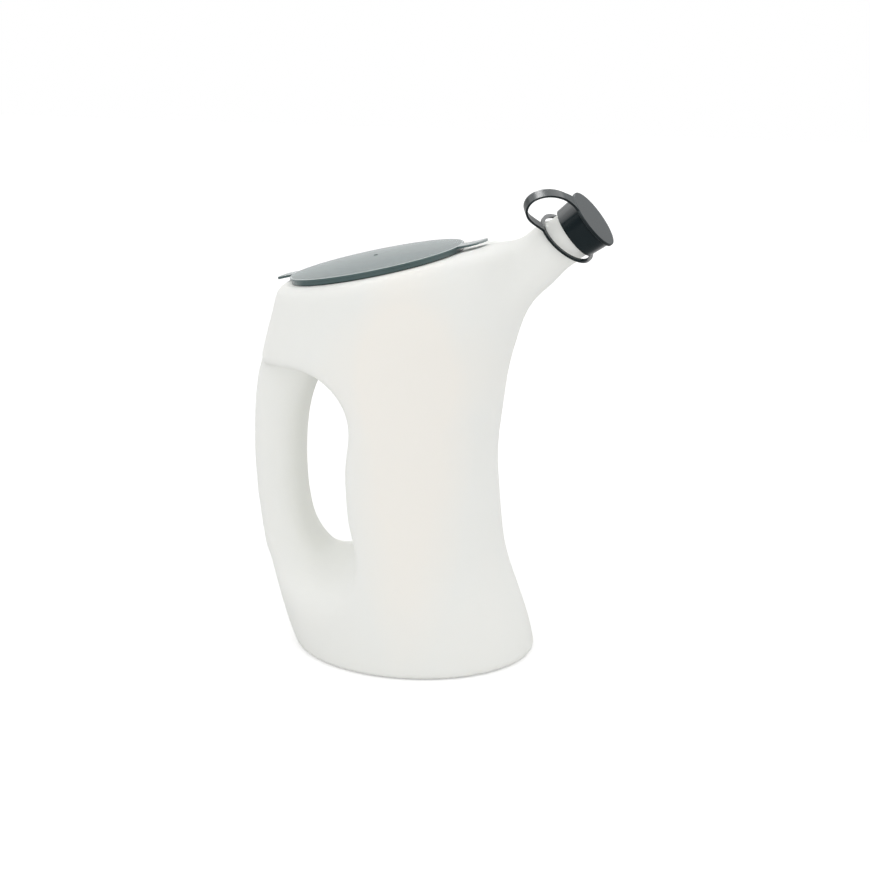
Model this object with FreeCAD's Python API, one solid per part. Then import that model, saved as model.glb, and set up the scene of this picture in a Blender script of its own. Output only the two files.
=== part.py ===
"""Blow-moulded measuring jug with a side-scooped grip, a push-on lid and a tethered spout cap.

Frame: millimetres, +Z up, the spout points along +X. The origin is the middle of the base,
on the surface that the jug stands on. Nodes: jug_body, mouth_lid, spout_cap.
"""
import FreeCAD
import Part

import math
import os

# ---- driving dimensions: body ----
HEIGHT = 252.7            # base to the middle of the sloping top
BASE_LENGTH = 160.1       # base, along X
BODY_DEPTH = 134.6        # whole body, along Y
TOP_SLOPE = 12.0          # degrees, the top rises towards the spout
WALL = 1.8
BASE_EDGE = 3.5           # outside radius of the base edge
SHOULDER = 11.0           # outside radius of the top edge
# share of HEIGHT, how far the back stands out and the front draws in from the base's ends
PROFILE = (
    (0.0, 0.0, 0.0),
    (0.06, 6.3, 3.0),
    (0.12, 11.2, 7.6),
    (0.19, 16.3, 14.2),
    (0.26, 20.2, 19.8),
    (0.40, 24.8, 24.4),
    (0.535, 26.4, 26.1),
    (0.67, 24.7, 22.3),
    (0.79, 19.1, 16.7),
    (0.88, 12.6, 9.9),
    (0.97, 7.0, 7.5),
    (1.06, 2.5, 10.0),
    (1.15, -1.5, 16.0),
)

# ---- driving dimensions: handle ----
RECESS_ROOF = 50.5        # below HEIGHT, roof of the recess at its front end, on the outside
RECESS_ROOF_DROP = 7.0    # how much lower the roof is at the middle plane
RECESS_ROOF_RADIUS = 37.0
RECESS_FLOOR = 62.0       # above the base, floor of the finger hole at the middle plane
RECESS_FLOOR_DROP = 10.0  # how much lower the floor's front end is on the outside
RECESS_FLOOR_RADIUS = (12.0, 35.0)   # corner to the rear wall: at the middle, on the outside
RECESS_FLOOR_SLOPE = (0.0, 0.45)     # rise towards the front: at the middle, on the outside
RECESS_ROOF_SLOPE = 0.16
REAR_WALL = (116.0, 97.0)            # from the front end of the base: at the middle, outside
REAR_WALL_LEAN = 0.045    # the wall goes back by this share of its rise
REAR_WALL_BULGE = 4.2     # how far its middle stands towards the grip
RECESS_RIDGE = 9.0        # rounding of the ridge along the middle plane
RECESS_EDGE = 3.0         # outside radius where the recess meets the sides
RECESS_RUN_OUT = 90.0     # how far the cutter runs out past the back
RECESS_SIDE_RUN = 12.0    # and past each side
RECESS_STATIONS = 24      # sections of the cutter, from side to side
GRIP_DEPTH = 38.0         # along Y
GRIP_THICKNESS = 31.5     # along X, at mid height

# ---- driving dimensions: mouth and lid ----
MOUTH_SETBACK = 56.0      # from the back end of the base to the mouth's axis, at the top
MOUTH_RADIUS = 51.8
COLLAR_WALL = 2.0
COLLAR_HEIGHT = 2.4
LID_CLEARANCE = 0.3
LID_SKIRT_WALL = 1.5
LID_FLANGE = 0.6          # the flange stands past the skirt by this much
LID_PLATE = 1.5
LID_RIM_WIDTH = 1.3       # flat rim between the flange's edge and the dome
LID_CROWN = 2.6           # rise of the dome's middle over the rim
LID_PLUG_DEPTH = 3.5      # inner ring, below the sloping top
LID_PLUG_WALL = 1.4
LID_EDGE = 0.4            # radius of the flange's edges
TAB_WIDTH = 13.0
TAB_THICKNESS = 1.4
TAB_FRONT_LIFT = 1.2      # rise of the front tab's tip, which clears the spout
TAB_BACK_LIFT = -0.8
TAB_BACK = 12.5           # length past the flange
TAB_FRONT = 18.0
GATE_RADIUS = 1.3         # moulding nub at the middle of the lid
GATE_HEIGHT = 0.3

# ---- driving dimensions: spout and cap ----
SPOUT_SLOPE = 38.0        # degrees, rise of the spout's axis
SPOUT_REACH = 34.4        # cap face past the front end of the base
SPOUT_RISE = 36.2         # cap face above HEIGHT
NECK_LENGTH = 24.75
NECK_RADIUS = 15.0
NECK_WALL = 1.8
CAP_CLEARANCE = 0.25
CAP_WALL = 1.6
CAP_TAPER = 1.1           # the cup is this much wider at its disc
CAP_OVERHANG = 1.25       # the disc stands past the cup by this much
CAP_DISC = 2.0
CAP_CUP = 13.5
CAP_EDGE = 0.5
RING_CLEARANCE = 2.4      # round the neck
RING_WIDTH = 2.2
RING_THICKNESS = 1.5
RING_SETBACK = 21.2       # ring's middle behind the cap face, along the axis
RING_TILT = 15.0          # degrees, the ring leans back on the strap's side
STRAP_CLOCK = 42.0        # degrees from the top of the disc to the near side
STRAP_WIDTH = 6.2
STRAP_THICKNESS = 1.4
STRAP_REACH = 23.2        # of the strap's bend past the edge of the disc
STRAP_SAG = 2.5           # how far the bend hangs back
STRAP_INSIDE = 1.5        # the strap starts this far inside the edge of the disc
STRAP_LEAD = 2.0          # and runs straight out past it by this much
STRAP_SHOULDER = 7.0      # past the disc, where the bend starts
STRAP_HEAD_DROP = 0.6     # the bend starts this far behind the middle of the disc
STRAP_FOOT_DROP = 0.6     # and ends this far behind the ring
STRAP_ROOT_WIDTH = 12.5   # at the disc
STRAP_ROOT_LENGTH = 8.0
STRAP_ROOT_INSIDE = 1.0

# ---- how finely curves are drawn ----
STATIONS = 14             # sections of the body and of the grip, from foot to top
SECTION_POINTS = 16
CORNER_POINTS = 7
STRAP_STEPS = 40


def vec(x, y, z):
    return FreeCAD.Vector(x, y, z)


BASE_FRONT = BASE_LENGTH / 2
BASE_BACK = -BASE_LENGTH / 2
HALF_DEPTH = BODY_DEPTH / 2

SLOPE = math.radians(TOP_SLOPE)
TOP_ALONG = vec(math.cos(SLOPE), 0, math.sin(SLOPE))
TOP_NORMAL = vec(-math.sin(SLOPE), 0, math.cos(SLOPE))
MOUTH_CENTRE = vec(BASE_BACK + MOUTH_SETBACK, 0, HEIGHT)

RISE = math.radians(SPOUT_SLOPE)
SPOUT_AXIS = vec(math.cos(RISE), 0, math.sin(RISE))
SPOUT_UP = vec(-math.sin(RISE), 0, math.cos(RISE))
CAP_FACE = vec(BASE_FRONT + SPOUT_REACH, 0, HEIGHT + SPOUT_RISE)
CUP_BORE = NECK_RADIUS + CAP_CLEARANCE
CUP_RIM_RADIUS = CUP_BORE + CAP_WALL
CUP_TOP_RADIUS = CUP_RIM_RADIUS + CAP_TAPER
DISC_RADIUS = CUP_TOP_RADIUS + CAP_OVERHANG
SKIRT_HEIGHT = COLLAR_HEIGHT + LID_CLEARANCE
SKIRT_RADIUS = MOUTH_RADIUS + COLLAR_WALL + LID_CLEARANCE + LID_SKIRT_WALL
FLANGE_RADIUS = SKIRT_RADIUS + LID_FLANGE

# distance behind the cap face, lift of the centre, half height and half width past the neck's radius
SPOUT_SECTIONS = (
    (25.0, 0.2, 0.4, 0.4),
    (36.0, 0.6, 1.2, 1.4),
    (48.0, 0.2, 2.8, 4.4),
    (60.0, 3.0, 7.4, 11.5),
    (75.0, 1.0, 10.6, 21.5),
    (96.0, 0.0, 13.0, 31.0),
)


# ---- shape helpers ----
def closed_spline(points):
    curve = Part.BSplineCurve()
    curve.interpolate(points, True)
    return Part.Wire(curve.toShape())


def ellipse_wire(centre, along, across, half_along, half_across, start=70.0):
    """Closed curve round an ellipse; start, in degrees, puts its seam on a quiet side."""
    points = []
    for k in range(SECTION_POINTS):
        angle = math.radians(start) + 2 * math.pi * k / SECTION_POINTS
        points.append(
            centre + along * (half_along * math.cos(angle)) + across * (half_across * math.sin(angle))
        )
    return closed_spline(points)


def rounded_section(centre, half_x, half_y, power=2.6):
    """Level closed curve between an ellipse and a rectangle."""
    points = []
    for k in range(SECTION_POINTS):
        angle = 2 * math.pi * (k + 0.5) / SECTION_POINTS
        c, s = math.cos(angle), math.sin(angle)
        x = half_x * math.copysign(abs(c) ** (2 / power), c)
        y = half_y * math.copysign(abs(s) ** (2 / power), s)
        points.append(centre + vec(x, y, 0))
    return closed_spline(points)


def smooth_loft(wires):
    return Part.makeLoft(wires, True, False)


def value_at(rows, height):
    """Value at a height on the smooth curve through (height, value) rows."""
    curve = Part.BSplineCurve()
    curve.interpolate([vec(value, 0, level) for level, value in rows])
    line = Part.Line(vec(-1, 0, height), vec(1, 0, height))
    return curve.intersectCC(line)[0].X


def even_steps(low, high, count):
    return [low + (high - low) * k / count for k in range(count + 1)]


def edges_at(shape, test):
    edges = [edge for edge in shape.Edges if not edge.Degenerated]
    return [edge for edge in edges if all(test(p) for p in edge.discretize(9))]


# ---- body ----
def back_x(height):
    return value_at([(share * HEIGHT, BASE_BACK - out) for share, out, inward in PROFILE], height)


def front_x(height):
    return value_at([(share * HEIGHT, BASE_FRONT - inward) for share, out, inward in PROFILE], height)


def top_cutter(depth):
    """Everything above a plane that lies this far under the sloping top."""
    size = 4 * BASE_LENGTH
    block = Part.makeBox(size, size, size, vec(-size / 2, -size / 2, 0))
    block.rotate(vec(0, 0, 0), vec(0, 1, 0), -TOP_SLOPE)
    block.translate(MOUTH_CENTRE - TOP_NORMAL * depth)
    return block


def envelope(inset):
    """The body without its recess and spout, drawn in by inset on all sides."""
    wires = []
    for height in even_steps(0, PROFILE[-1][0] * HEIGHT, STATIONS):
        back = back_x(height) + inset
        front = front_x(height) - inset
        centre = vec((back + front) / 2, 0, height)
        half_length = (front - back) / 2
        wires.append(ellipse_wire(centre, vec(1, 0, 0), vec(0, 1, 0), half_length, HALF_DEPTH - inset))
    solid = smooth_loft(wires)
    if inset > 0:
        size = 4 * BASE_LENGTH
        solid = solid.cut(Part.makeBox(size, size, inset, vec(-size / 2, -size / 2, 0)))
    solid = solid.cut(top_cutter(inset))

    def on_top(point):
        return abs((point - MOUTH_CENTRE).dot(TOP_NORMAL) + inset) < 0.01

    def on_base(point):
        return abs(point.z - inset) < 0.01

    solid = solid.makeFillet(SHOULDER - inset, edges_at(solid, on_top))
    return solid.makeFillet(BASE_EDGE - inset / 2, edges_at(solid, on_base))


def rounded_corner(before, corner, after, radius):
    """Points round an arc that cuts a corner."""
    back = (before - corner).normalize()
    forth = (after - corner).normalize()
    half = back.getAngle(forth) / 2
    reach = radius / math.tan(half)
    middle = corner + (back + forth).normalize() * (radius / math.sin(half) - radius)
    arc = Part.Arc(corner + back * reach, middle, corner + forth * reach)
    return arc.toShape().discretize(CORNER_POINTS)


def blend(pair, share):
    return pair[0] + (pair[1] - pair[0]) * share


def recess_outline(y, grow):
    """Outline of the handle recess in the plane at y, open past the back of the body."""
    full = math.hypot(HALF_DEPTH, RECESS_RIDGE) - RECESS_RIDGE
    share = (math.hypot(y, RECESS_RIDGE) - RECESS_RIDGE) / full
    behind = BASE_BACK - RECESS_RUN_OUT
    wall_x = BASE_FRONT - blend(REAR_WALL, share) + grow
    roof_z = HEIGHT - RECESS_ROOF - RECESS_ROOF_DROP * (1 - share) + grow
    floor_z = RECESS_FLOOR - RECESS_FLOOR_DROP * share - grow
    slope = blend(RECESS_FLOOR_SLOPE, share)
    roof = vec(wall_x - REAR_WALL_LEAN * (roof_z - floor_z), y, roof_z)
    floor = vec(wall_x, y, floor_z)
    roof_back = vec(behind, y, roof_z - RECESS_ROOF_SLOPE * (roof.x - behind))
    floor_back = vec(behind, y, floor_z - slope * (floor.x - behind))
    upper = rounded_corner(roof_back, roof, floor, RECESS_ROOF_RADIUS + grow)
    lower = rounded_corner(roof, floor, floor_back, blend(RECESS_FLOOR_RADIUS, share) + grow)
    lead_in = [roof_back + (upper[0] - roof_back) * k for k in (0.0, 0.35, 0.7)]
    bulge = vec(-REAR_WALL_BULGE, 0, 0)
    rear = [upper[-1] + (lower[0] - upper[-1]) * k + bulge * (4 * k * (1 - k)) for k in (0.25, 0.5, 0.75)]
    lead_out = [lower[-1] + (floor_back - lower[-1]) * k for k in (0.3, 0.65, 1.0)]
    curve = Part.BSplineCurve()
    curve.interpolate(lead_in + upper + rear + lower + lead_out)
    closing = Part.makeLine(floor_back, roof_back)
    return Part.Wire([curve.toShape(), closing])


def recess_tool(grow):
    """Cutter of the finger hole and of both side scoops."""
    reach = HALF_DEPTH + RECESS_SIDE_RUN
    return smooth_loft([recess_outline(y, grow) for y in even_steps(-reach, reach, RECESS_STATIONS)])


def grip(inset):
    """The grip's column, which flares into the body above and below the finger hole."""
    roof = HEIGHT - RECESS_ROOF
    floor = RECESS_FLOOR
    span = roof - floor
    # height, back's distance inside the body's outline, thickness, depth
    rows = (
        (floor - 16, 8.0, GRIP_THICKNESS + 20, GRIP_DEPTH + 14),
        (floor - 4, -0.6, GRIP_THICKNESS + 12, GRIP_DEPTH + 9),
        (floor + 0.06 * span, -2.4, GRIP_THICKNESS + 4, GRIP_DEPTH + 4),
        (floor + 0.18 * span, -2.8, GRIP_THICKNESS + 0.5, GRIP_DEPTH),
        (floor + 0.42 * span, -2.6, GRIP_THICKNESS, GRIP_DEPTH),
        (floor + 0.64 * span, -2.0, GRIP_THICKNESS + 2, GRIP_DEPTH),
        (floor + 0.80 * span, -1.8, GRIP_THICKNESS + 7, GRIP_DEPTH),
        (floor + 0.92 * span, -0.5, GRIP_THICKNESS + 14, GRIP_DEPTH + 2),
        (roof + 8, 7.0, GRIP_THICKNESS + 22, GRIP_DEPTH + 6),
    )
    wires = []
    for height in even_steps(rows[0][0], rows[-1][0], STATIONS):
        deep, thickness, depth = (value_at([(row[0], row[k]) for row in rows], height) for k in (1, 2, 3))
        centre = vec(back_x(height) + deep + thickness / 2, 0, height)
        wires.append(rounded_section(centre, thickness / 2 - inset, depth / 2 - inset))
    return smooth_loft(wires)


def spout(inset):
    """Tapering spout from deep inside the body to the neck's end."""
    wires = []
    for behind, lift, more_high, more_wide in SPOUT_SECTIONS:
        centre = CAP_FACE - SPOUT_AXIS * behind + SPOUT_UP * lift
        half_high = NECK_RADIUS + more_high - inset
        half_wide = NECK_RADIUS + more_wide - inset
        wires.append(ellipse_wire(centre, SPOUT_UP, vec(0, 1, 0), half_high, half_wide, 90.0))
    return smooth_loft(wires)


def neck():
    """Straight neck that carries the cap, and its bore through to the spout."""
    end = CAP_FACE - SPOUT_AXIS * (CAP_DISC + CAP_CLEARANCE)
    start = end - SPOUT_AXIS * NECK_LENGTH
    run_in = 6.0
    tube = Part.makeCylinder(NECK_RADIUS, NECK_LENGTH, start, SPOUT_AXIS)
    bore = Part.makeCylinder(
        NECK_RADIUS - NECK_WALL, NECK_LENGTH + 2 * run_in, start - SPOUT_AXIS * run_in, SPOUT_AXIS
    )
    return tube, bore


def body_form(inset):
    """Whole outside (inset 0) or whole cavity (inset WALL)."""
    solid = envelope(inset).cut(recess_tool(inset))
    if inset == 0:
        solid = solid.makeFillet(RECESS_EDGE, recess_edges(solid))
    return solid.fuse([grip(inset), spout(inset)])


def recess_edges(solid):
    """Edges between the recess and the body's sides."""

    def on_side(edge):
        middle = edge.discretize(3)[1]
        back, front = back_x(middle.z), front_x(middle.z)
        half = (front - back) / 2
        round_about = ((middle.x - (front + back) / 2) / half) ** 2 + (middle.y / HALF_DEPTH) ** 2
        beside = 2 * BASE_EDGE < middle.z < HEIGHT - RECESS_ROOF + RECESS_EDGE
        return abs(round_about - 1) < 0.05 and middle.x < 0 and beside

    return [edge for edge in solid.Edges if on_side(edge) and edge.Length > 1]


def jug_body():
    tube, bore = neck()
    collar = Part.makeCylinder(
        MOUTH_RADIUS + COLLAR_WALL, COLLAR_HEIGHT + WALL, MOUTH_CENTRE - TOP_NORMAL * WALL, TOP_NORMAL
    )
    mouth = Part.makeCylinder(
        MOUTH_RADIUS, COLLAR_HEIGHT + 3 * WALL, MOUTH_CENTRE - TOP_NORMAL * 2 * WALL, TOP_NORMAL
    )
    outside = body_form(0).fuse([tube, collar])
    return outside.cut([body_form(WALL), bore, mouth])


# ---- lid ----
def turned(points, origin, axis, away):
    """Solid of revolution from (radius, distance along axis) points and arcs of three points."""
    def place(point):
        return origin + away * point[0] + axis * point[1]

    edges = []
    for step in points:
        corners = [place(point) for point in step]
        edge = Part.Arc(*corners).toShape() if len(corners) == 3 else Part.makeLine(*corners)
        edges.append(edge)
    face = Part.Face(Part.Wire(edges))
    return face.revolve(origin, axis, 360)


def outline_steps(corners):
    """Closed outline of straight steps through the corners."""
    return [(a, b) for a, b in zip(corners, corners[1:] + corners[:1])]


def dome_arc(radius, height, level):
    """Arc from a rim up to the middle of a dome of this height."""
    curve = (radius ** 2 + height ** 2) / (2 * height)
    half = radius / 2
    middle = (half, level + height - curve + math.sqrt(curve ** 2 - half ** 2))
    return ((radius, level), middle, (0, level + height))


def lid_tab(length, lift, side):
    """Pull tab: a tongue with a round, bent end, side 1 to the front and -1 to the back."""
    half = TAB_WIDTH / 2
    inner = SKIRT_RADIUS - LID_SKIRT_WALL
    reach = FLANGE_RADIUS + length
    tall = abs(lift) + TAB_THICKNESS

    def place(along, across, up):
        foot = MOUTH_CENTRE + TOP_NORMAL * (SKIRT_HEIGHT + up)
        return foot + TOP_ALONG * (side * along) + vec(0, across, 0)

    low = -tall
    arc = Part.Arc(place(reach - half, half, low), place(reach, 0, low), place(reach - half, -half, low))
    corners = ((reach - half, -half), (inner, -half), (inner, half), (reach - half, half))
    sides = Part.makePolygon([place(along, across, low) for along, across in corners])
    tongue = Part.Face(Part.Wire([arc.toShape()] + sides.Edges)).extrude(TOP_NORMAL * (2.5 * tall))

    def bend(up):
        middle = (FLANGE_RADIUS + reach) / 2
        curve = Part.Arc(
            place(FLANGE_RADIUS, -half, up), place(middle, -half, up + lift / 4),
            place(reach, -half, up + lift),
        )
        return [Part.makeLine(place(inner, -half, up), place(FLANGE_RADIUS, -half, up)), curve.toShape()]

    under, over = bend(0), bend(TAB_THICKNESS)
    root = Part.makeLine(place(inner, -half, 0), place(inner, -half, TAB_THICKNESS))
    end = Part.makeLine(place(reach, -half, lift), place(reach, -half, TAB_THICKNESS + lift))
    band = Part.Face(Part.Wire(under + [end] + over[::-1] + [root])).extrude(vec(0, TAB_WIDTH, 0))
    return band.common(tongue)


def mouth_lid():
    top = SKIRT_HEIGHT + LID_PLATE
    dome = FLANGE_RADIUS - LID_RIM_WIDTH
    plug_out = MOUTH_RADIUS - LID_CLEARANCE
    plug_in = plug_out - LID_PLUG_WALL
    outer = dome_arc(dome, LID_CROWN, top)
    inner = dome_arc(plug_in, LID_CROWN, SKIRT_HEIGHT)
    corners = [
        (dome, top),
        (FLANGE_RADIUS, top),
        (FLANGE_RADIUS, SKIRT_HEIGHT),
        (SKIRT_RADIUS, SKIRT_HEIGHT),
        (SKIRT_RADIUS, 0),
        (SKIRT_RADIUS - LID_SKIRT_WALL, 0),
        (SKIRT_RADIUS - LID_SKIRT_WALL, SKIRT_HEIGHT),
        (plug_out, SKIRT_HEIGHT),
        (plug_out, -LID_PLUG_DEPTH),
        (plug_in, -LID_PLUG_DEPTH),
        (plug_in, SKIRT_HEIGHT),
    ]
    steps = list(zip(corners, corners[1:]))
    steps = [outer[::-1]] + steps + [inner, (inner[-1], outer[-1])]
    plate = turned(steps, MOUTH_CENTRE, TOP_NORMAL, TOP_ALONG)

    def on_edge(point):
        spot = point - MOUTH_CENTRE
        level = spot.dot(TOP_NORMAL)
        reach = (spot - TOP_NORMAL * level).Length
        return abs(reach - FLANGE_RADIUS) < 0.01

    plate = plate.makeFillet(LID_EDGE, edges_at(plate, on_edge))
    gate = Part.makeCylinder(
        GATE_RADIUS, GATE_HEIGHT + LID_PLATE / 2,
        MOUTH_CENTRE + TOP_NORMAL * (top + LID_CROWN - LID_PLATE / 2), TOP_NORMAL,
    )
    tabs = [lid_tab(TAB_BACK, TAB_BACK_LIFT, -1), lid_tab(TAB_FRONT, TAB_FRONT_LIFT, 1)]
    return plate.fuse(tabs + [gate])


# ---- cap with its strap and ring ----
STRAP_OUT = SPOUT_UP * math.cos(math.radians(STRAP_CLOCK)) + vec(0, -math.sin(math.radians(STRAP_CLOCK)), 0)
STRAP_ACROSS = SPOUT_AXIS.cross(STRAP_OUT)


def cap_point(out, behind, across=0.0):
    """Point from its distance out along the strap, behind the cap's face, and across the strap."""
    return CAP_FACE + STRAP_OUT * out - SPOUT_AXIS * behind + STRAP_ACROSS * across


def cap_cup():
    depth = CAP_DISC + CAP_CUP
    corners = [
        (0, 0),
        (DISC_RADIUS, 0),
        (DISC_RADIUS, CAP_DISC),
        (CUP_TOP_RADIUS, CAP_DISC),
        (CUP_RIM_RADIUS, depth),
        (CUP_BORE, depth),
        (CUP_BORE, CAP_DISC),
        (0, CAP_DISC),
    ]
    cup = turned(outline_steps(corners), CAP_FACE, SPOUT_AXIS * -1, STRAP_OUT)

    def on_disc_edge(point):
        spot = point - CAP_FACE
        behind = -spot.dot(SPOUT_AXIS)
        return abs((spot + SPOUT_AXIS * behind).Length - DISC_RADIUS) < 0.01

    return cup.makeFillet(CAP_EDGE, edges_at(cup, on_disc_edge))


def ring_centre():
    return CAP_FACE - SPOUT_AXIS * RING_SETBACK


def ring_out():
    """Direction from the ring's middle to where the strap meets it."""
    lean = math.radians(RING_TILT)
    return STRAP_OUT * math.cos(lean) - SPOUT_AXIS * math.sin(lean)


def cap_ring():
    inner = NECK_RADIUS + RING_CLEARANCE
    outer = inner + RING_WIDTH
    half = RING_THICKNESS / 2
    axis = ring_out().cross(STRAP_ACROSS)
    corners = [(inner, -half), (outer, -half), (outer, half), (inner, half)]
    return turned(outline_steps(corners), ring_centre(), axis, ring_out())


def strap_line():
    """(out, behind) points down the middle of the strap, from the disc round to the ring."""
    disc_level = CAP_DISC / 2
    ring_edge = NECK_RADIUS + RING_CLEARANCE + RING_WIDTH / 2
    lean = math.radians(RING_TILT)
    end = (ring_edge * math.cos(lean), RING_SETBACK + ring_edge * math.sin(lean))
    head = disc_level + STRAP_HEAD_DROP
    foot = end[1] + STRAP_FOOT_DROP
    middle, half = (foot + head) / 2, (foot - head) / 2
    shoulder = DISC_RADIUS + STRAP_SHOULDER
    points = [(DISC_RADIUS - STRAP_INSIDE, disc_level), (DISC_RADIUS + STRAP_LEAD, disc_level)]
    for angle in range(90, -91, -30):
        c, s = math.cos(math.radians(angle)), math.sin(math.radians(angle))
        points.append((shoulder + (STRAP_REACH - STRAP_SHOULDER) * c, middle - half * s + STRAP_SAG * c))
    return points + [end]


def ribbon(width):
    """The strap as a band of this width."""
    curve = Part.BSplineCurve()
    curve.interpolate([cap_point(out, behind) for out, behind in strap_line()])
    sides = ([], [])
    for k in range(STRAP_STEPS + 1):
        at = curve.parameterAtDistance(curve.length() * k / STRAP_STEPS, curve.FirstParameter)
        normal = curve.tangent(at)[0].cross(STRAP_ACROSS).normalize() * (STRAP_THICKNESS / 2)
        start = curve.value(at) - STRAP_ACROSS * (width / 2)
        sides[0].append(start + normal)
        sides[1].append(start - normal)
    edges = []
    for side in sides:
        spline = Part.BSplineCurve()
        spline.interpolate(side)
        edges.append(spline.toShape())
    ends = [Part.makeLine(sides[0][k], sides[1][k]) for k in (0, -1)]
    face = Part.Face(Part.Wire([edges[0], ends[1], edges[1], ends[0]]))
    return face.extrude(STRAP_ACROSS * width)


def strap_root():
    """The strap's wider root at the disc."""
    near = DISC_RADIUS - STRAP_ROOT_INSIDE
    far = DISC_RADIUS + STRAP_ROOT_LENGTH
    wide, slim = STRAP_ROOT_WIDTH / 2, STRAP_WIDTH / 2
    rows = [(near, wide), (near + (far - near) * 0.3, (wide + slim) / 2), (far, slim)]
    ahead = CAP_DISC
    corners = [cap_point(out, -ahead, half) for out, half in rows]
    corners += [cap_point(out, -ahead, -half) for out, half in reversed(rows)]
    outline = Part.Face(Part.makePolygon(corners + corners[:1]))
    wedge = outline.extrude(SPOUT_AXIS * -(2 * ahead + STRAP_ROOT_LENGTH))
    return ribbon(2 * STRAP_ROOT_WIDTH).common(wedge)


def spout_cap():
    return cap_cup().fuse([cap_ring(), ribbon(STRAP_WIDTH), strap_root()])


def export(name, shape):
    solid = shape.Solids[0]
    print(name, "solids", len(shape.Solids), "valid", solid.isValid(), "volume", round(solid.Volume))
    solid.exportStep("parts/" + name + ".step")


def main():
    os.makedirs("parts", exist_ok=True)
    export("jug_body", jug_body())
    export("mouth_lid", mouth_lid())
    export("spout_cap", spout_cap())


main()
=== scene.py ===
"""Looks of a blow-moulded jug with a scooped grip, a domed lid and a tethered spout cap.

Metres, +Z up, the spout points along +X, as in the CAD frame that carries every piece.
"""

import math

import bmesh
import bpy
from mathutils import Matrix, Vector


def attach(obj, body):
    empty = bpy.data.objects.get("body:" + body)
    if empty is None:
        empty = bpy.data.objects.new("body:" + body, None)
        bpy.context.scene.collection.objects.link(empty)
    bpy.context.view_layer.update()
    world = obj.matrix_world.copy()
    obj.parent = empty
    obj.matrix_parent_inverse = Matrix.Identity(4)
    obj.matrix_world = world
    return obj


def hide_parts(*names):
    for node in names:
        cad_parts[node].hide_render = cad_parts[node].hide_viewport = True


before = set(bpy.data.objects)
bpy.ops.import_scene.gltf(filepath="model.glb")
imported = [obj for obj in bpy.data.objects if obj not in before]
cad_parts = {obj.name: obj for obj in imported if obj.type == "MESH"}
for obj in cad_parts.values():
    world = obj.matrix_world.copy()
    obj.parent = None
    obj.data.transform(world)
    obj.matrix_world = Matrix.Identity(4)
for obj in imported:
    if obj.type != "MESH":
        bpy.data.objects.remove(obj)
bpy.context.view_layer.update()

MM = 0.001

# ---- the mouth and its lid ----
MOUTH_CENTRE = Vector((-24.05, 0.0, 252.7)) * MM
MOUTH_RADIUS = 51.8 * MM
TOP_SLOPE = math.radians(12.0)
TOP_NORMAL = Vector((-math.sin(TOP_SLOPE), 0.0, math.cos(TOP_SLOPE)))
COLLAR_TOP = 2.4 * MM           # over the mouth's centre, along the top's normal
COLLAR_RADIUS = 53.8 * MM
SKIRT_RADIUS = 55.6 * MM
LID_RADIUS = 56.2 * MM

# ---- the spout and its cap ----
CAP_FACE = Vector((114.45, 0.0, 288.9)) * MM
SPOUT_SLOPE = math.radians(38.0)
SPOUT_AXIS = Vector((math.cos(SPOUT_SLOPE), 0.0, math.sin(SPOUT_SLOPE)))
SPOUT_UP = Vector((-math.sin(SPOUT_SLOPE), 0.0, math.cos(SPOUT_SLOPE)))
NECK_BORE = 13.2 * MM
NECK_END = 2.25 * MM            # behind the cap face
DISC_RADIUS = 19.2 * MM
STRAP_CLOCK = math.radians(42.0)
STRAP_OUT = SPOUT_UP * math.cos(STRAP_CLOCK) - Vector((0.0, math.sin(STRAP_CLOCK), 0.0))
STRAP_ACROSS = SPOUT_AXIS.cross(STRAP_OUT)

# ---- the body's shell ----
WALL = 1.8 * MM
VOXEL = 2.2 * MM
MERGE_DISTANCE = 0.004 * MM
BORE_TOLERANCE = 0.06 * MM      # a point this near to a bore's cylinder lies on it
SMOOTHING = 0.5                 # share of the way to its neighbours that one pass moves a point
CREASE_ANGLE = math.radians(13.0)
CREASE_RINGS = 3                # rings of points round a crease that move with it, less and less
CREASE_PASSES = 25
SPOUT_PASSES = 132
LIP_PASSES = 215
LAST_PASSES = 2
LAST_WEIGHT = 0.5
LIP_CENTRE = Vector((-0.070, 0.046, 0.044))
LIP_REACH = Vector((0.060, 0.038, 0.034))
FOOT_CENTRE = Vector((-0.099, 0.020, 0.053))
FOOT_REACH = Vector((0.026, 0.022, 0.019))
FOOT_FLARE = 2.2 * MM           # the grip's foot widens by this on each side
LIP_FLOOR = 4.0 * MM            # nothing below this is smoothed with the lips
CREASE_FLOOR = 6.0 * MM         # nor with the creases
SEAT_BAND = 4.0 * MM            # the top is seated, and keeps its edges, this near to the skirt's foot
SEAT_DEPTH = 0.15 * MM          # seated, it lies this far under that foot

# The blend of the spout's root grows from none to full between these.
ROOT_BEHIND = (47.0 * MM, 61.0 * MM)    # behind the cap face, along the spout
ROOT_FORWARD = (24.0 * MM, 46.0 * MM)   # along X
ROOT_UP = (165.0 * MM, 190.0 * MM)      # along Z
ROOT_CLEARANCE = 5.0 * MM               # it stays this far off the mouth's rim
ROOT_UNDER = 3.0 * MM                   # or this far under its plane

# ---- colours ----
MILK_COOL = (0.868, 0.873, 0.843, 1.0)
MILK_WARM = (0.905, 0.880, 0.828, 1.0)
BELLY_CENTRE = (0.013, 0.0, 0.150)      # the body is warmest here
BELLY_REACH = (0.036, 0.0, 0.150)
CHEST_CENTRE = (0.010, 0.0, 0.200)
CHEST_REACH = (0.060, 0.0, 0.045)
LID_DEEP = (0.068, 0.108, 0.109, 1.0)
LID_PALE = (0.094, 0.140, 0.138, 1.0)
# colour of the lid's painted highlight, a pale line along its rim's upper edge
LID_PAINTED_HIGHLIGHT = (0.34, 0.38, 0.38, 1.0)
LID_SHADOW = (0.012, 0.016, 0.016, 1.0)
CAP_DEEP = (0.004, 0.009, 0.011, 1.0)
CAP_PALE = (0.010, 0.018, 0.021, 1.0)

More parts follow.
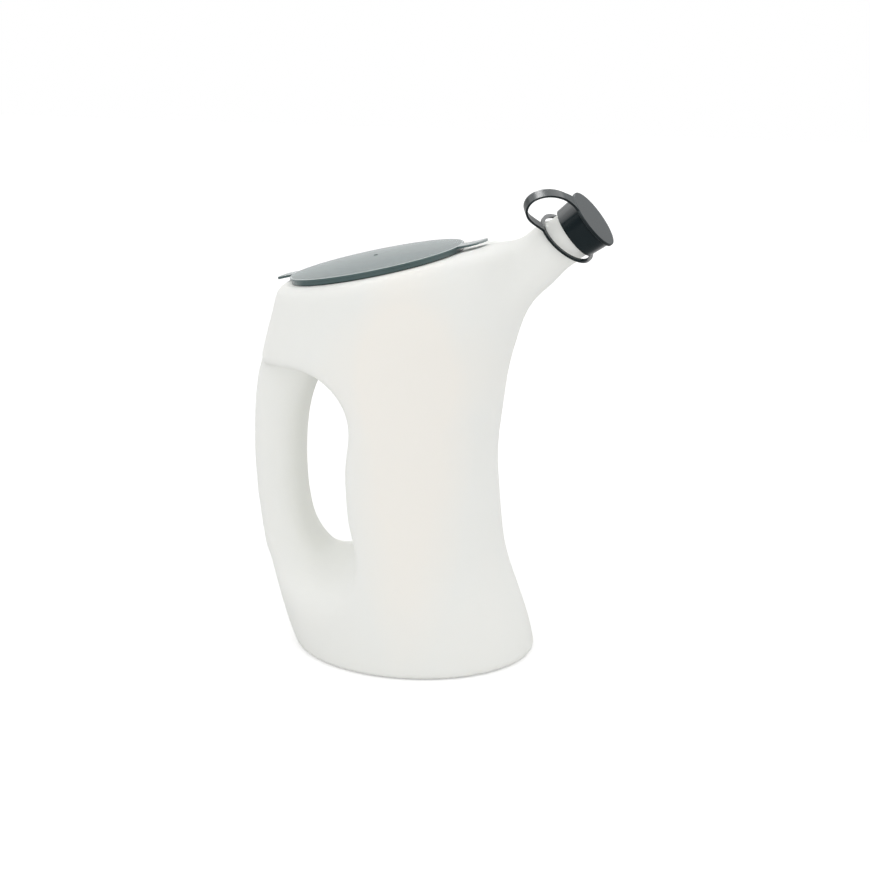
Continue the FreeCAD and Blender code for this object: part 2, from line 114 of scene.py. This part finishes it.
# ---- patterns, in waves for each metre ----
BODY_CLOUDS = 14.0
BODY_STREAKS = 46.0
BODY_SKIN = 1400.0
LID_CLOUDS = 24.0
LID_GRAIN = 1500.0
CAP_CLOUDS = 60.0
CAP_GRAIN = 1700.0
STRAP_LINES = 2600.0
PAPER_CLOUDS = 3.0

# ---- depths of the bumps ----
BODY_RELIEF = 0.6 * MM
GRAIN_RELIEF = 0.2 * MM

# ---- marks of the moulds, and where the lid's painted highlight and painted shadow lie ----
PARTING_LINE = 0.5 * MM         # the body's seam fades out over this, on each side
DRAWN_OUT = (1.0, 1.0, 0.22)    # the body's streaks are drawn out upwards
RIM_EDGE = (1.5 * MM, 1.0 * MM)         # in from the lid's outer wall, where its edge begins
PAINTED_HIGHLIGHT_LEVEL = (3.8 * MM, 4.1 * MM)     # over the mouth's plane, where the edge takes its painted highlight
SHADOW_LEVEL = (0.9 * MM, 0.2 * MM)     # and where its foot takes painted shadow
DISC_BACK = (-2.4 * MM, -1.6 * MM)      # along the spout from the cap face, cup to disc
STRAP_ROOT = 2.0 * MM                   # beyond the disc, the strap's finish fades in over this


# ---------------------------------------------------------------- shader expressions
class Wire:
    """A socket in a sum: operators add Math nodes, other nodes come from Shading.add."""

    def __init__(self, shading, socket):
        self.shading = shading
        self.socket = socket

    def _math(self, operation, *terms):
        return self.shading.add("ShaderNodeMath", {"operation": operation}, dict(enumerate(terms)))

    def __add__(self, other):
        return self._math("ADD", self, other)

    __radd__ = __add__

    def __mul__(self, other):
        return self._math("MULTIPLY", self, other)

    __rmul__ = __mul__

    def __sub__(self, other):
        return self._math("SUBTRACT", self, other)

    def __rsub__(self, other):
        return self._math("SUBTRACT", other, self)

    def __abs__(self):
        return self._math("ABSOLUTE", self)


class Shading:
    """A node tree, emptied first: add() makes each of its nodes."""

    def __init__(self, tree):
        self.tree = tree
        tree.nodes.clear()

    def add(self, kind, settings=None, inputs=None, output=0):
        """A node of this kind, its settings made first, then the values or links of its sockets."""
        node = self.tree.nodes.new(kind)
        for key, value in (settings or {}).items():
            if key == "stops":
                self._set_stops(node.color_ramp, value)
            else:
                setattr(node, key, value)
        for key, value in (inputs or {}).items():
            if isinstance(value, Wire):
                self.tree.links.new(value.socket, node.inputs[key])
            else:
                node.inputs[key].default_value = value
        return Wire(self, node.outputs[output]) if node.outputs else None

    def _set_stops(self, ramp, stops):
        while len(ramp.elements) < len(stops):
            ramp.elements.new(0.5)
        for element, (place, value) in zip(ramp.elements, stops):
            element.position = place
            element.color = (value, value, value, 1.0)

    def vector_math(self, operation, *terms, output="Vector"):
        return self.add(
            "ShaderNodeVectorMath", {"operation": operation}, dict(enumerate(terms)), output
        )

    def along(self, spot, direction, start=(0.0, 0.0, 0.0)):
        """Distance from start along a direction."""
        way = self.vector_math("SUBTRACT", spot, start)
        return self.vector_math("DOT_PRODUCT", way, direction, output="Value")

    def away(self, spot, direction, start):
        """Distance from the line through start along a direction."""
        way = self.vector_math("SUBTRACT", spot, start)
        flat = self.vector_math("CROSS_PRODUCT", way, direction)
        return self.vector_math("LENGTH", flat, output="Value")

    def fade(self, value, start, end, low=0.0, high=1.0):
        """Smooth step from low at start to high at end."""
        limits = {"From Min": start, "From Max": end, "To Min": low, "To Max": high}
        return self.add(
            "ShaderNodeMapRange", {"interpolation_type": "SMOOTHSTEP"}, {"Value": value, **limits}
        )

    def blend(self, factor, first, second):
        """Colour between two colours."""
        return self.add("ShaderNodeMix", {"data_type": "RGBA"}, {0: factor, 6: first, 7: second}, 2)


class Finish(Shading):
    """One material's shading: close() makes its shader and its output."""

    def __init__(self, name):
        self.material = bpy.data.materials.new(name)
        self.material.use_nodes = True
        super().__init__(self.material.node_tree)

    def position(self, scale=(1.0, 1.0, 1.0), shift=(0.0, 0.0, 0.0)):
        """The place of a point on the object, scaled and then shifted."""
        spot = self.add("ShaderNodeTexCoord", output="Object")
        return self.add("ShaderNodeMapping", None, {"Vector": spot, "Location": shift, "Scale": scale})

    def noise(self, spot, scale, detail=3.0):
        """Soft clouds between 0 and 1, with so many finer layers."""
        return self.add("ShaderNodeTexNoise", None, {"Vector": spot, "Scale": scale, "Detail": detail})

    def ramp(self, factor, *stops):
        """Grey between stops, each a place and its level."""
        return self.add("ShaderNodeValToRGB", {"stops": stops}, {"Fac": factor})

    def glow_round(self, centre, reach):
        """1 at the centre, falling to 0 at this reach along each axis; a reach of 0 is endless."""
        scale = [1.0 / size if size else 0.0 for size in reach]
        shift = [-place * size for place, size in zip(centre, scale)]
        near = self.position(scale, shift)
        return self.add("ShaderNodeTexGradient", {"gradient_type": "SPHERICAL"}, {"Vector": near}, "Fac")

    def bump(self, height, strength, distance):
        relief = {"Height": height, "Strength": strength, "Distance": distance}
        return self.add("ShaderNodeBump", None, relief)

    def close(self, **sockets):
        """The finished material: the shader takes these sockets, with _ for a space."""
        values = {key.replace("_", " "): value for key, value in sockets.items()}
        shader = self.add("ShaderNodeBsdfPrincipled", None, values)
        self.add("ShaderNodeOutputMaterial", None, {"Surface": shader})
        return self.material


# ---------------------------------------------------------------- materials
def milky_polyethylene():
    """Natural polyethylene: cool milky white, warmer in the middle, with a satin skin off the mould."""
    finish = Finish("milky_polyethylene")
    spot = finish.position()
    clouds = finish.noise(spot, BODY_CLOUDS, detail=2.0)
    drawn = finish.noise(finish.position(DRAWN_OUT), BODY_STREAKS)
    belly = finish.glow_round(BELLY_CENTRE, BELLY_REACH)
    chest = finish.glow_round(CHEST_CENTRE, CHEST_REACH)
    warmth = belly + 0.6 * chest + 0.35 * clouds + 0.12 * drawn
    across = finish.add("ShaderNodeSeparateXYZ", None, {"Vector": spot}, "Y")
    ridge = finish.fade(abs(across), 0.0, PARTING_LINE, 1.0, 0.0)
    skin = finish.noise(spot, BODY_SKIN, detail=2.0)
    height = skin * 0.2 + drawn * 0.4 + ridge * 0.4
    return finish.close(
        Base_Color=finish.blend(finish.ramp(warmth, (0.25, 0.0), (0.75, 1.0)), MILK_COOL, MILK_WARM),
        Roughness=0.46 + 0.16 * drawn,
        Specular_IOR_Level=0.15,
        Subsurface_Weight=0.2,
        Subsurface_Radius=(1.0, 0.97, 0.9),
        Subsurface_Scale=1.5 * MM,
        Normal=finish.bump(height, 0.25, BODY_RELIEF),
    )


def dark_lid_plastic():
    """Dark grey polyethylene of the lid, satin on top with a fine moulded grain, a painted highlight
    along its rim's edge and painted shadow at the foot of its skirt.
    """
    finish = Finish("dark_lid_plastic")
    spot = finish.position()
    clouds = finish.noise(spot, LID_CLOUDS)
    grain = finish.noise(spot, LID_GRAIN, detail=2.0)
    level = finish.along(spot, TOP_NORMAL, MOUTH_CENTRE)
    reach = finish.away(spot, TOP_NORMAL, MOUTH_CENTRE)
    edge = finish.fade(reach, *[LID_RADIUS - inset for inset in RIM_EDGE])
    # painted highlight along the rim's upper edge, and painted shadow at the skirt's foot
    painted_highlight = edge * finish.fade(level, *PAINTED_HIGHLIGHT_LEVEL)
    shadow = edge * finish.fade(level, *SHADOW_LEVEL)
    colour = finish.blend(clouds, LID_DEEP, LID_PALE)
    # the painted highlight, then the painted shadow, laid over the lid's own colour
    colour = finish.blend(painted_highlight * (0.75 + 0.4 * clouds), colour, LID_PAINTED_HIGHLIGHT)
    colour = finish.blend(shadow * 0.8, colour, LID_SHADOW)
    return finish.close(
        Base_Color=colour,
        Roughness=0.20 + 0.10 * clouds,
        IOR=1.5,
        Normal=finish.bump(grain, 0.06, GRAIN_RELIEF),
    )


def black_cap_plastic():
    """Near-black polyethylene: a matt disc, a glossy cup, and a strap drawn in fine lines."""
    finish = Finish("black_cap_plastic")
    spot = finish.position()
    clouds = finish.noise(spot, CAP_CLOUDS)
    grain = finish.noise(spot, CAP_GRAIN, detail=2.0)
    disc = finish.fade(finish.along(spot, SPOUT_AXIS, CAP_FACE), *DISC_BACK)
    outward = finish.along(spot, STRAP_OUT, CAP_FACE)
    strap = finish.fade(outward, DISC_RADIUS, DISC_RADIUS + STRAP_ROOT)
    lines = finish.add(
        "ShaderNodeTexNoise", {"noise_dimensions": "1D"},
        {"W": finish.along(spot, STRAP_ACROSS, CAP_FACE), "Scale": STRAP_LINES, "Detail": 2.0},
    )
    height = grain * (0.3 + 0.5 * disc) + lines * strap
    return finish.close(
        Base_Color=finish.blend(clouds, CAP_DEEP, CAP_PALE),
        Roughness=0.20 + 0.06 * clouds + 0.26 * disc + 0.06 * strap,
        Specular_IOR_Level=0.45,
        Normal=finish.bump(height, 0.25, GRAIN_RELIEF),
    )


# ---------------------------------------------------------------- pieces
def shade_smooth(mesh):
    """Shades every face of a mesh as part of a curved surface."""
    mesh.polygons.foreach_set("use_smooth", [True] * len(mesh.polygons))


def new_piece(name, mesh_data, material):
    """A mesh object made from a bmesh, which is freed."""
    mesh = bpy.data.meshes.new(name)
    mesh_data.to_mesh(mesh)
    mesh_data.free()
    shade_smooth(mesh)
    mesh.materials.append(material)
    piece = bpy.data.objects.new(name, mesh)
    bpy.context.scene.collection.objects.link(piece)
    return piece


def apply_modifiers(piece):
    """The piece's mesh becomes its evaluated mesh, and its modifiers go."""
    graph = bpy.context.evaluated_depsgraph_get()
    finished = bpy.data.meshes.new_from_object(piece.evaluated_get(graph))
    piece.modifiers.clear()
    piece.data = finished


def offset_from(point, centre, axis):
    """How far a point lies from the centre: square to the axis as a vector, then along it."""
    spot = point - centre
    along = spot.dot(axis)
    return spot - axis * along, along


def on_bore(face, centre, axis, radius):
    """Whether all corners of a face lie on the wall of a round bore."""
    gaps = [offset_from(v.co, centre, axis)[0].length - radius for v in face.verts]
    return all(abs(gap) < BORE_TOLERANCE for gap in gaps)


def outer_skin(mesh_data):
    """Drops the cavity: the skin is cut along both bores, and what hangs on the lowest point stays."""
    bores = [
        face for face in mesh_data.faces
        if on_bore(face, MOUTH_CENTRE, TOP_NORMAL, MOUTH_RADIUS)
        or on_bore(face, CAP_FACE, SPOUT_AXIS, NECK_BORE)
    ]
    bmesh.ops.delete(mesh_data, geom=bores, context="FACES")
    lowest = min(mesh_data.verts, key=lambda v: v.co.z)
    kept, front = {lowest}, [lowest]
    while front:
        vertex = front.pop()
        for edge in vertex.link_edges:
            other = edge.other_vert(vertex)
            if other not in kept:
                kept.add(other)
                front.append(other)
    cavity = [v for v in mesh_data.verts if v not in kept]
    bmesh.ops.delete(mesh_data, geom=cavity, context="VERTS")
    rims = [edge for edge in mesh_data.edges if edge.is_boundary]
    bmesh.ops.holes_fill(mesh_data, edges=rims, sides=0)


def seat_lid(mesh_data):
    """Keeps the top just under the foot of the lid's skirt, from the collar outwards."""
    for vertex in mesh_data.verts:
        away, above = offset_from(vertex.co, MOUTH_CENTRE, TOP_NORMAL)
        under_skirt = COLLAR_RADIUS < away.length < SKIRT_RADIUS + SEAT_BAND
        if under_skirt and -SEAT_DEPTH < above < SEAT_BAND:
            vertex.co -= TOP_NORMAL * (above + SEAT_DEPTH)


def open_rim(mesh_data, centre, axis, level, radius):
    """Opens the skin inside a rim, and sets the rim's points on its circle."""
    inside = []
    for face in mesh_data.faces:
        away, along = offset_from(face.calc_center_median(), centre, axis)
        if away.length < radius and abs(along - level) < VOXEL:
            inside.append(face)
    bmesh.ops.delete(mesh_data, geom=inside, context="FACES")
    nearby = 2 * VOXEL
    for vertex in mesh_data.verts:
        away, along = offset_from(vertex.co, centre, axis)
        if vertex.is_boundary and abs(along - level) < nearby and away.length < radius + nearby:
            vertex.co = centre + axis * level + away.normalized() * radius


def smooth_where(piece, name, weights, passes):
    """Smooths the piece by these weights, given for each vertex by its index."""
    group = piece.vertex_groups.new(name=name)
    for index, weight in weights.items():
        group.add([index], weight, "REPLACE")
    modifier = piece.modifiers.new(name, "SMOOTH")
    modifier.vertex_group = name
    modifier.factor = SMOOTHING
    modifier.iterations = passes
    apply_modifiers(piece)
    piece.vertex_groups.clear()


def spread(weights, mesh_data, rings):
    """Weights that fade out over this many rings of vertices."""
    for ring in range(rings):
        fade = 1.0 - (ring + 1) / (rings + 1)
        border = {}
        for index in weights:
            for edge in mesh_data.verts[index].link_edges:
                other = edge.other_vert(mesh_data.verts[index]).index
                if other not in weights:
                    border[other] = fade
        weights.update(border)
    return weights


def creases(piece):
    """Weights at the sharp edges of the body, but for the neck, the mouth's seat and the base."""
    mesh_data = bmesh.new()
    mesh_data.from_mesh(piece.data)
    mesh_data.verts.ensure_lookup_table()
    found = {}
    for edge in mesh_data.edges:
        if edge.is_manifold and edge.calc_face_angle() > CREASE_ANGLE:
            for vertex in edge.verts:
                behind = (CAP_FACE - vertex.co).dot(SPOUT_AXIS)
                above = (vertex.co - MOUTH_CENTRE).dot(TOP_NORMAL)
                if behind > ROOT_BEHIND[0] and above < -SEAT_BAND and vertex.co.z > CREASE_FLOOR:
                    found[vertex.index] = 1.0
    found = spread(found, mesh_data, CREASE_RINGS)
    mesh_data.free()
    return found


def growth(value, limits):
    """0 up to the first limit, 1 from the second on, and a straight line between."""
    start, end = limits
    return min(max((value - start) / (end - start), 0.0), 1.0)


def spout_root(piece):
    """Weights over the spout's root, strongest where it leaves the body."""
    found = {}
    for vertex in piece.data.vertices:
        behind = (CAP_FACE - vertex.co).dot(SPOUT_AXIS)
        spot = vertex.co - MOUTH_CENTRE
        outside_collar = spot.length > MOUTH_RADIUS + ROOT_CLEARANCE
        under_mouth = spot.dot(TOP_NORMAL) < -ROOT_UNDER
        weight = growth(behind, ROOT_BEHIND)
        weight *= growth(vertex.co.x, ROOT_FORWARD) * growth(vertex.co.z, ROOT_UP)
        if weight > 0.0 and (outside_collar or under_mouth):
            found[vertex.index] = weight
    return found


def nearness(point, centre, reach):
    """1 out to half the reach along each axis and falling to 0 at it, on either side of the jug."""
    spot = Vector((point.x, abs(point.y), point.z)) - centre
    away = Vector([offset / size for offset, size in zip(spot, reach)]).length
    return min(1.0, 2.0 * (1.0 - away))


def lower_lips(piece):
    """Weights over the scoops' lower lips, which run out softly."""
    found = {}
    for vertex in piece.data.vertices:
        weight = nearness(vertex.co, LIP_CENTRE, LIP_REACH)
        if weight > 0.0 and vertex.co.z > LIP_FLOOR:
            found[vertex.index] = weight
    return found


def flare_foot(piece):
    """Widens the foot of the grip, so that it runs into the body in one line."""
    for vertex in piece.data.vertices:
        share = nearness(vertex.co, FOOT_CENTRE, FOOT_REACH)
        if share > 0.0:
            vertex.co.y += math.copysign(FOOT_FLARE * share, vertex.co.y)


def jug_body(material):
    """Blow-moulded body: the CAD skin, with its creases run out as in a mould, and a wall inside."""
    source = bmesh.new()
    source.from_mesh(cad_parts["jug_body"].data)
    bmesh.ops.remove_doubles(source, verts=source.verts, dist=MERGE_DISTANCE)
    outer_skin(source)
    piece = new_piece("jug_shell", source, material)
    remesh = piece.modifiers.new("even_mesh", "REMESH")
    remesh.mode = "VOXEL"
    remesh.voxel_size = VOXEL
    apply_modifiers(piece)

    smooth_where(piece, "spout_root", spout_root(piece), SPOUT_PASSES)
    flare_foot(piece)
    smooth_where(piece, "lower_lips", lower_lips(piece), LIP_PASSES)
    smooth_where(piece, "creases", creases(piece), CREASE_PASSES)
    smooth_where(piece, "all", {v.index: LAST_WEIGHT for v in piece.data.vertices}, LAST_PASSES)

    skin = bmesh.new()
    skin.from_mesh(piece.data)
    seat_lid(skin)
    open_rim(skin, MOUTH_CENTRE, TOP_NORMAL, COLLAR_TOP, MOUTH_RADIUS)
    open_rim(skin, CAP_FACE, SPOUT_AXIS, -NECK_END, NECK_BORE)
    skin.to_mesh(piece.data)
    skin.free()
    wall = piece.modifiers.new("wall", "SOLIDIFY")
    wall.thickness = WALL
    wall.offset = -1.0
    apply_modifiers(piece)

    piece.data.materials.clear()
    piece.data.materials.append(material)
    shade_smooth(piece.data)
    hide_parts("jug_body")
    return piece


def dress(node, material):
    """A CAD node keeps its mesh and gets this material."""
    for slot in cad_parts[node].material_slots:
        slot.material = material


# ---------------------------------------------------------------- studio
CAMERA_PLACE = (0.3221, -1.0302, 0.4555)
CAMERA_TARGET = (0.01364, 0.0, 0.14387)
CAMERA_NEAR = 0.05
LENS = 71.83
SENSOR = 36.0
LAMP_PLACE = (0.1, -1.5, 0.5)
LAMP_SIZE = 1.4
LAMP_POWER = 1.5
BACKWARD = (0.0, 1.0, 0.0)
UPWARD = (0.0, 0.0, 1.0)

FLOOR_SIZE = 6.0
PAPER_DEEP = (0.90, 0.90, 0.90, 1.0)
PAPER_PALE = (0.92, 0.92, 0.92, 1.0)
FLOOR_LIFT = 0.26                       # lifts the paper to white where the lens sees it
FLOOR_IN_MIRRORS = (0.25, 0.26, 0.26, 1.0)      # its colour in reflections, in front of the jug
FLOOR_TURN = (0.35, 0.10)               # along Y, that colour fades in between these

# How bright the surroundings are. Matt surfaces find the first, and reflections find the rest.
SKY_LIGHT = 0.94
SKY_FRONT = 0.06                        # on the side that the lens stands on
SKY_BEHIND = 1.0                        # on the side of the backdrop
SKY_TURN = (-0.5, 0.3)                  # from front to back between these, of a unit length along Y
SWEEP_SHARE = 0.8                       # share of both that is left above the sweep
SWEEP_TURN = (0.25, 0.0)                # from that share to the whole between these, along Z
CEILING = 1.9                           # what the ceiling adds to them
CEILING_TURN = (0.25, 0.5)              # from none to all of it between these, along Z
SPARK = 14.0                            # what a small bright pane high at the side adds
SPARK_WAY = Vector((-0.30, 0.10, 0.95)).normalized()
SPARK_TURN = (0.965, 0.985)             # from its edge inwards between these, along the way to it


def floor_material():
    """Pale paper: the lens sees it white, and reflections find it dark in front of the jug."""
    finish = Finish("studio_floor")
    spot = finish.position()
    mirrored = finish.add("ShaderNodeLightPath", output="Is Glossy Ray")
    front = finish.fade(finish.along(spot, BACKWARD), *FLOOR_TURN)
    mottle = finish.noise(spot, PAPER_CLOUDS, detail=2.0)
    white = finish.blend(mottle, PAPER_DEEP, PAPER_PALE)
    colour = finish.blend(mirrored * front, white, FLOOR_IN_MIRRORS)
    paper = finish.add("ShaderNodeBsdfDiffuse", None, {"Color": colour, "Roughness": 0.5})
    seen = finish.add("ShaderNodeLightPath", output="Is Camera Ray")
    glow = finish.add("ShaderNodeEmission", None, {"Strength": seen * FLOOR_LIFT})
    both = finish.add("ShaderNodeAddShader", None, {0: paper, 1: glow})
    finish.add("ShaderNodeOutputMaterial", None, {"Surface": both})
    return finish.material


def surroundings():
    """White to the lens, nearly white to matt surfaces, and uneven in reflections."""
    world = bpy.data.worlds.new("studio_world")
    bpy.context.scene.world = world
    world.use_nodes = True
    sky = Shading(world.node_tree)
    seen = sky.add("ShaderNodeLightPath", output="Is Camera Ray")
    mirrored = sky.add("ShaderNodeLightPath", output="Is Glossy Ray")
    way = sky.add("ShaderNodeTexCoord", output="Generated")

    above = sky.along(way, UPWARD)
    sides = sky.fade(sky.along(way, BACKWARD), *SKY_TURN, SKY_FRONT, SKY_BEHIND)
    sides = sides * sky.fade(above, *SWEEP_TURN, SWEEP_SHARE, 1.0)
    ceiling = sky.fade(above, *CEILING_TURN, 0.0, CEILING)
    spark = sky.fade(sky.along(way, SPARK_WAY), *SPARK_TURN, 0.0, SPARK)
    matt = (1.0 - seen - mirrored) * SKY_LIGHT
    strength = seen + mirrored * (sides + ceiling + spark) + matt
    light = sky.add("ShaderNodeBackground", None, {"Color": (1.0, 1.0, 1.0, 1.0), "Strength": strength})
    sky.add("ShaderNodeOutputWorld", None, {"Surface": light})


def aim_at_jug(name, data, place):
    """An object at this place, turned so that it looks at the camera's target."""
    holder = bpy.data.objects.new(name, data)
    bpy.context.scene.collection.objects.link(holder)
    way = Vector(CAMERA_TARGET) - Vector(place)
    holder.matrix_world = Matrix.Translation(place) @ way.to_track_quat("-Z", "Y").to_matrix().to_4x4()
    return holder


def studio():
    """Pale floor, white surroundings and one soft lamp."""
    grid = bmesh.new()
    bmesh.ops.create_grid(grid, x_segments=2, y_segments=2, size=FLOOR_SIZE / 2)
    floor = new_piece("studio_floor", grid, floor_material())
    surroundings()
    lamp = bpy.data.lights.new("front_box", "AREA")
    lamp.shape = "DISK"
    lamp.size = LAMP_SIZE
    lamp.energy = LAMP_POWER
    aim_at_jug("front_box", lamp, LAMP_PLACE)


def camera():
    """The lens in front of the jug, a little to its right and above it."""
    lens = bpy.data.cameras.new("camera")
    lens.lens = LENS
    lens.sensor_width = SENSOR
    lens.clip_start = CAMERA_NEAR
    bpy.context.scene.camera = aim_at_jug("camera", lens, CAMERA_PLACE)


bpy.context.scene.view_settings.view_transform = "Standard"
camera()
studio()
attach(jug_body(milky_polyethylene()), "root")
dress("mouth_lid", dark_lid_plastic())
dress("spout_cap", black_cap_plastic())
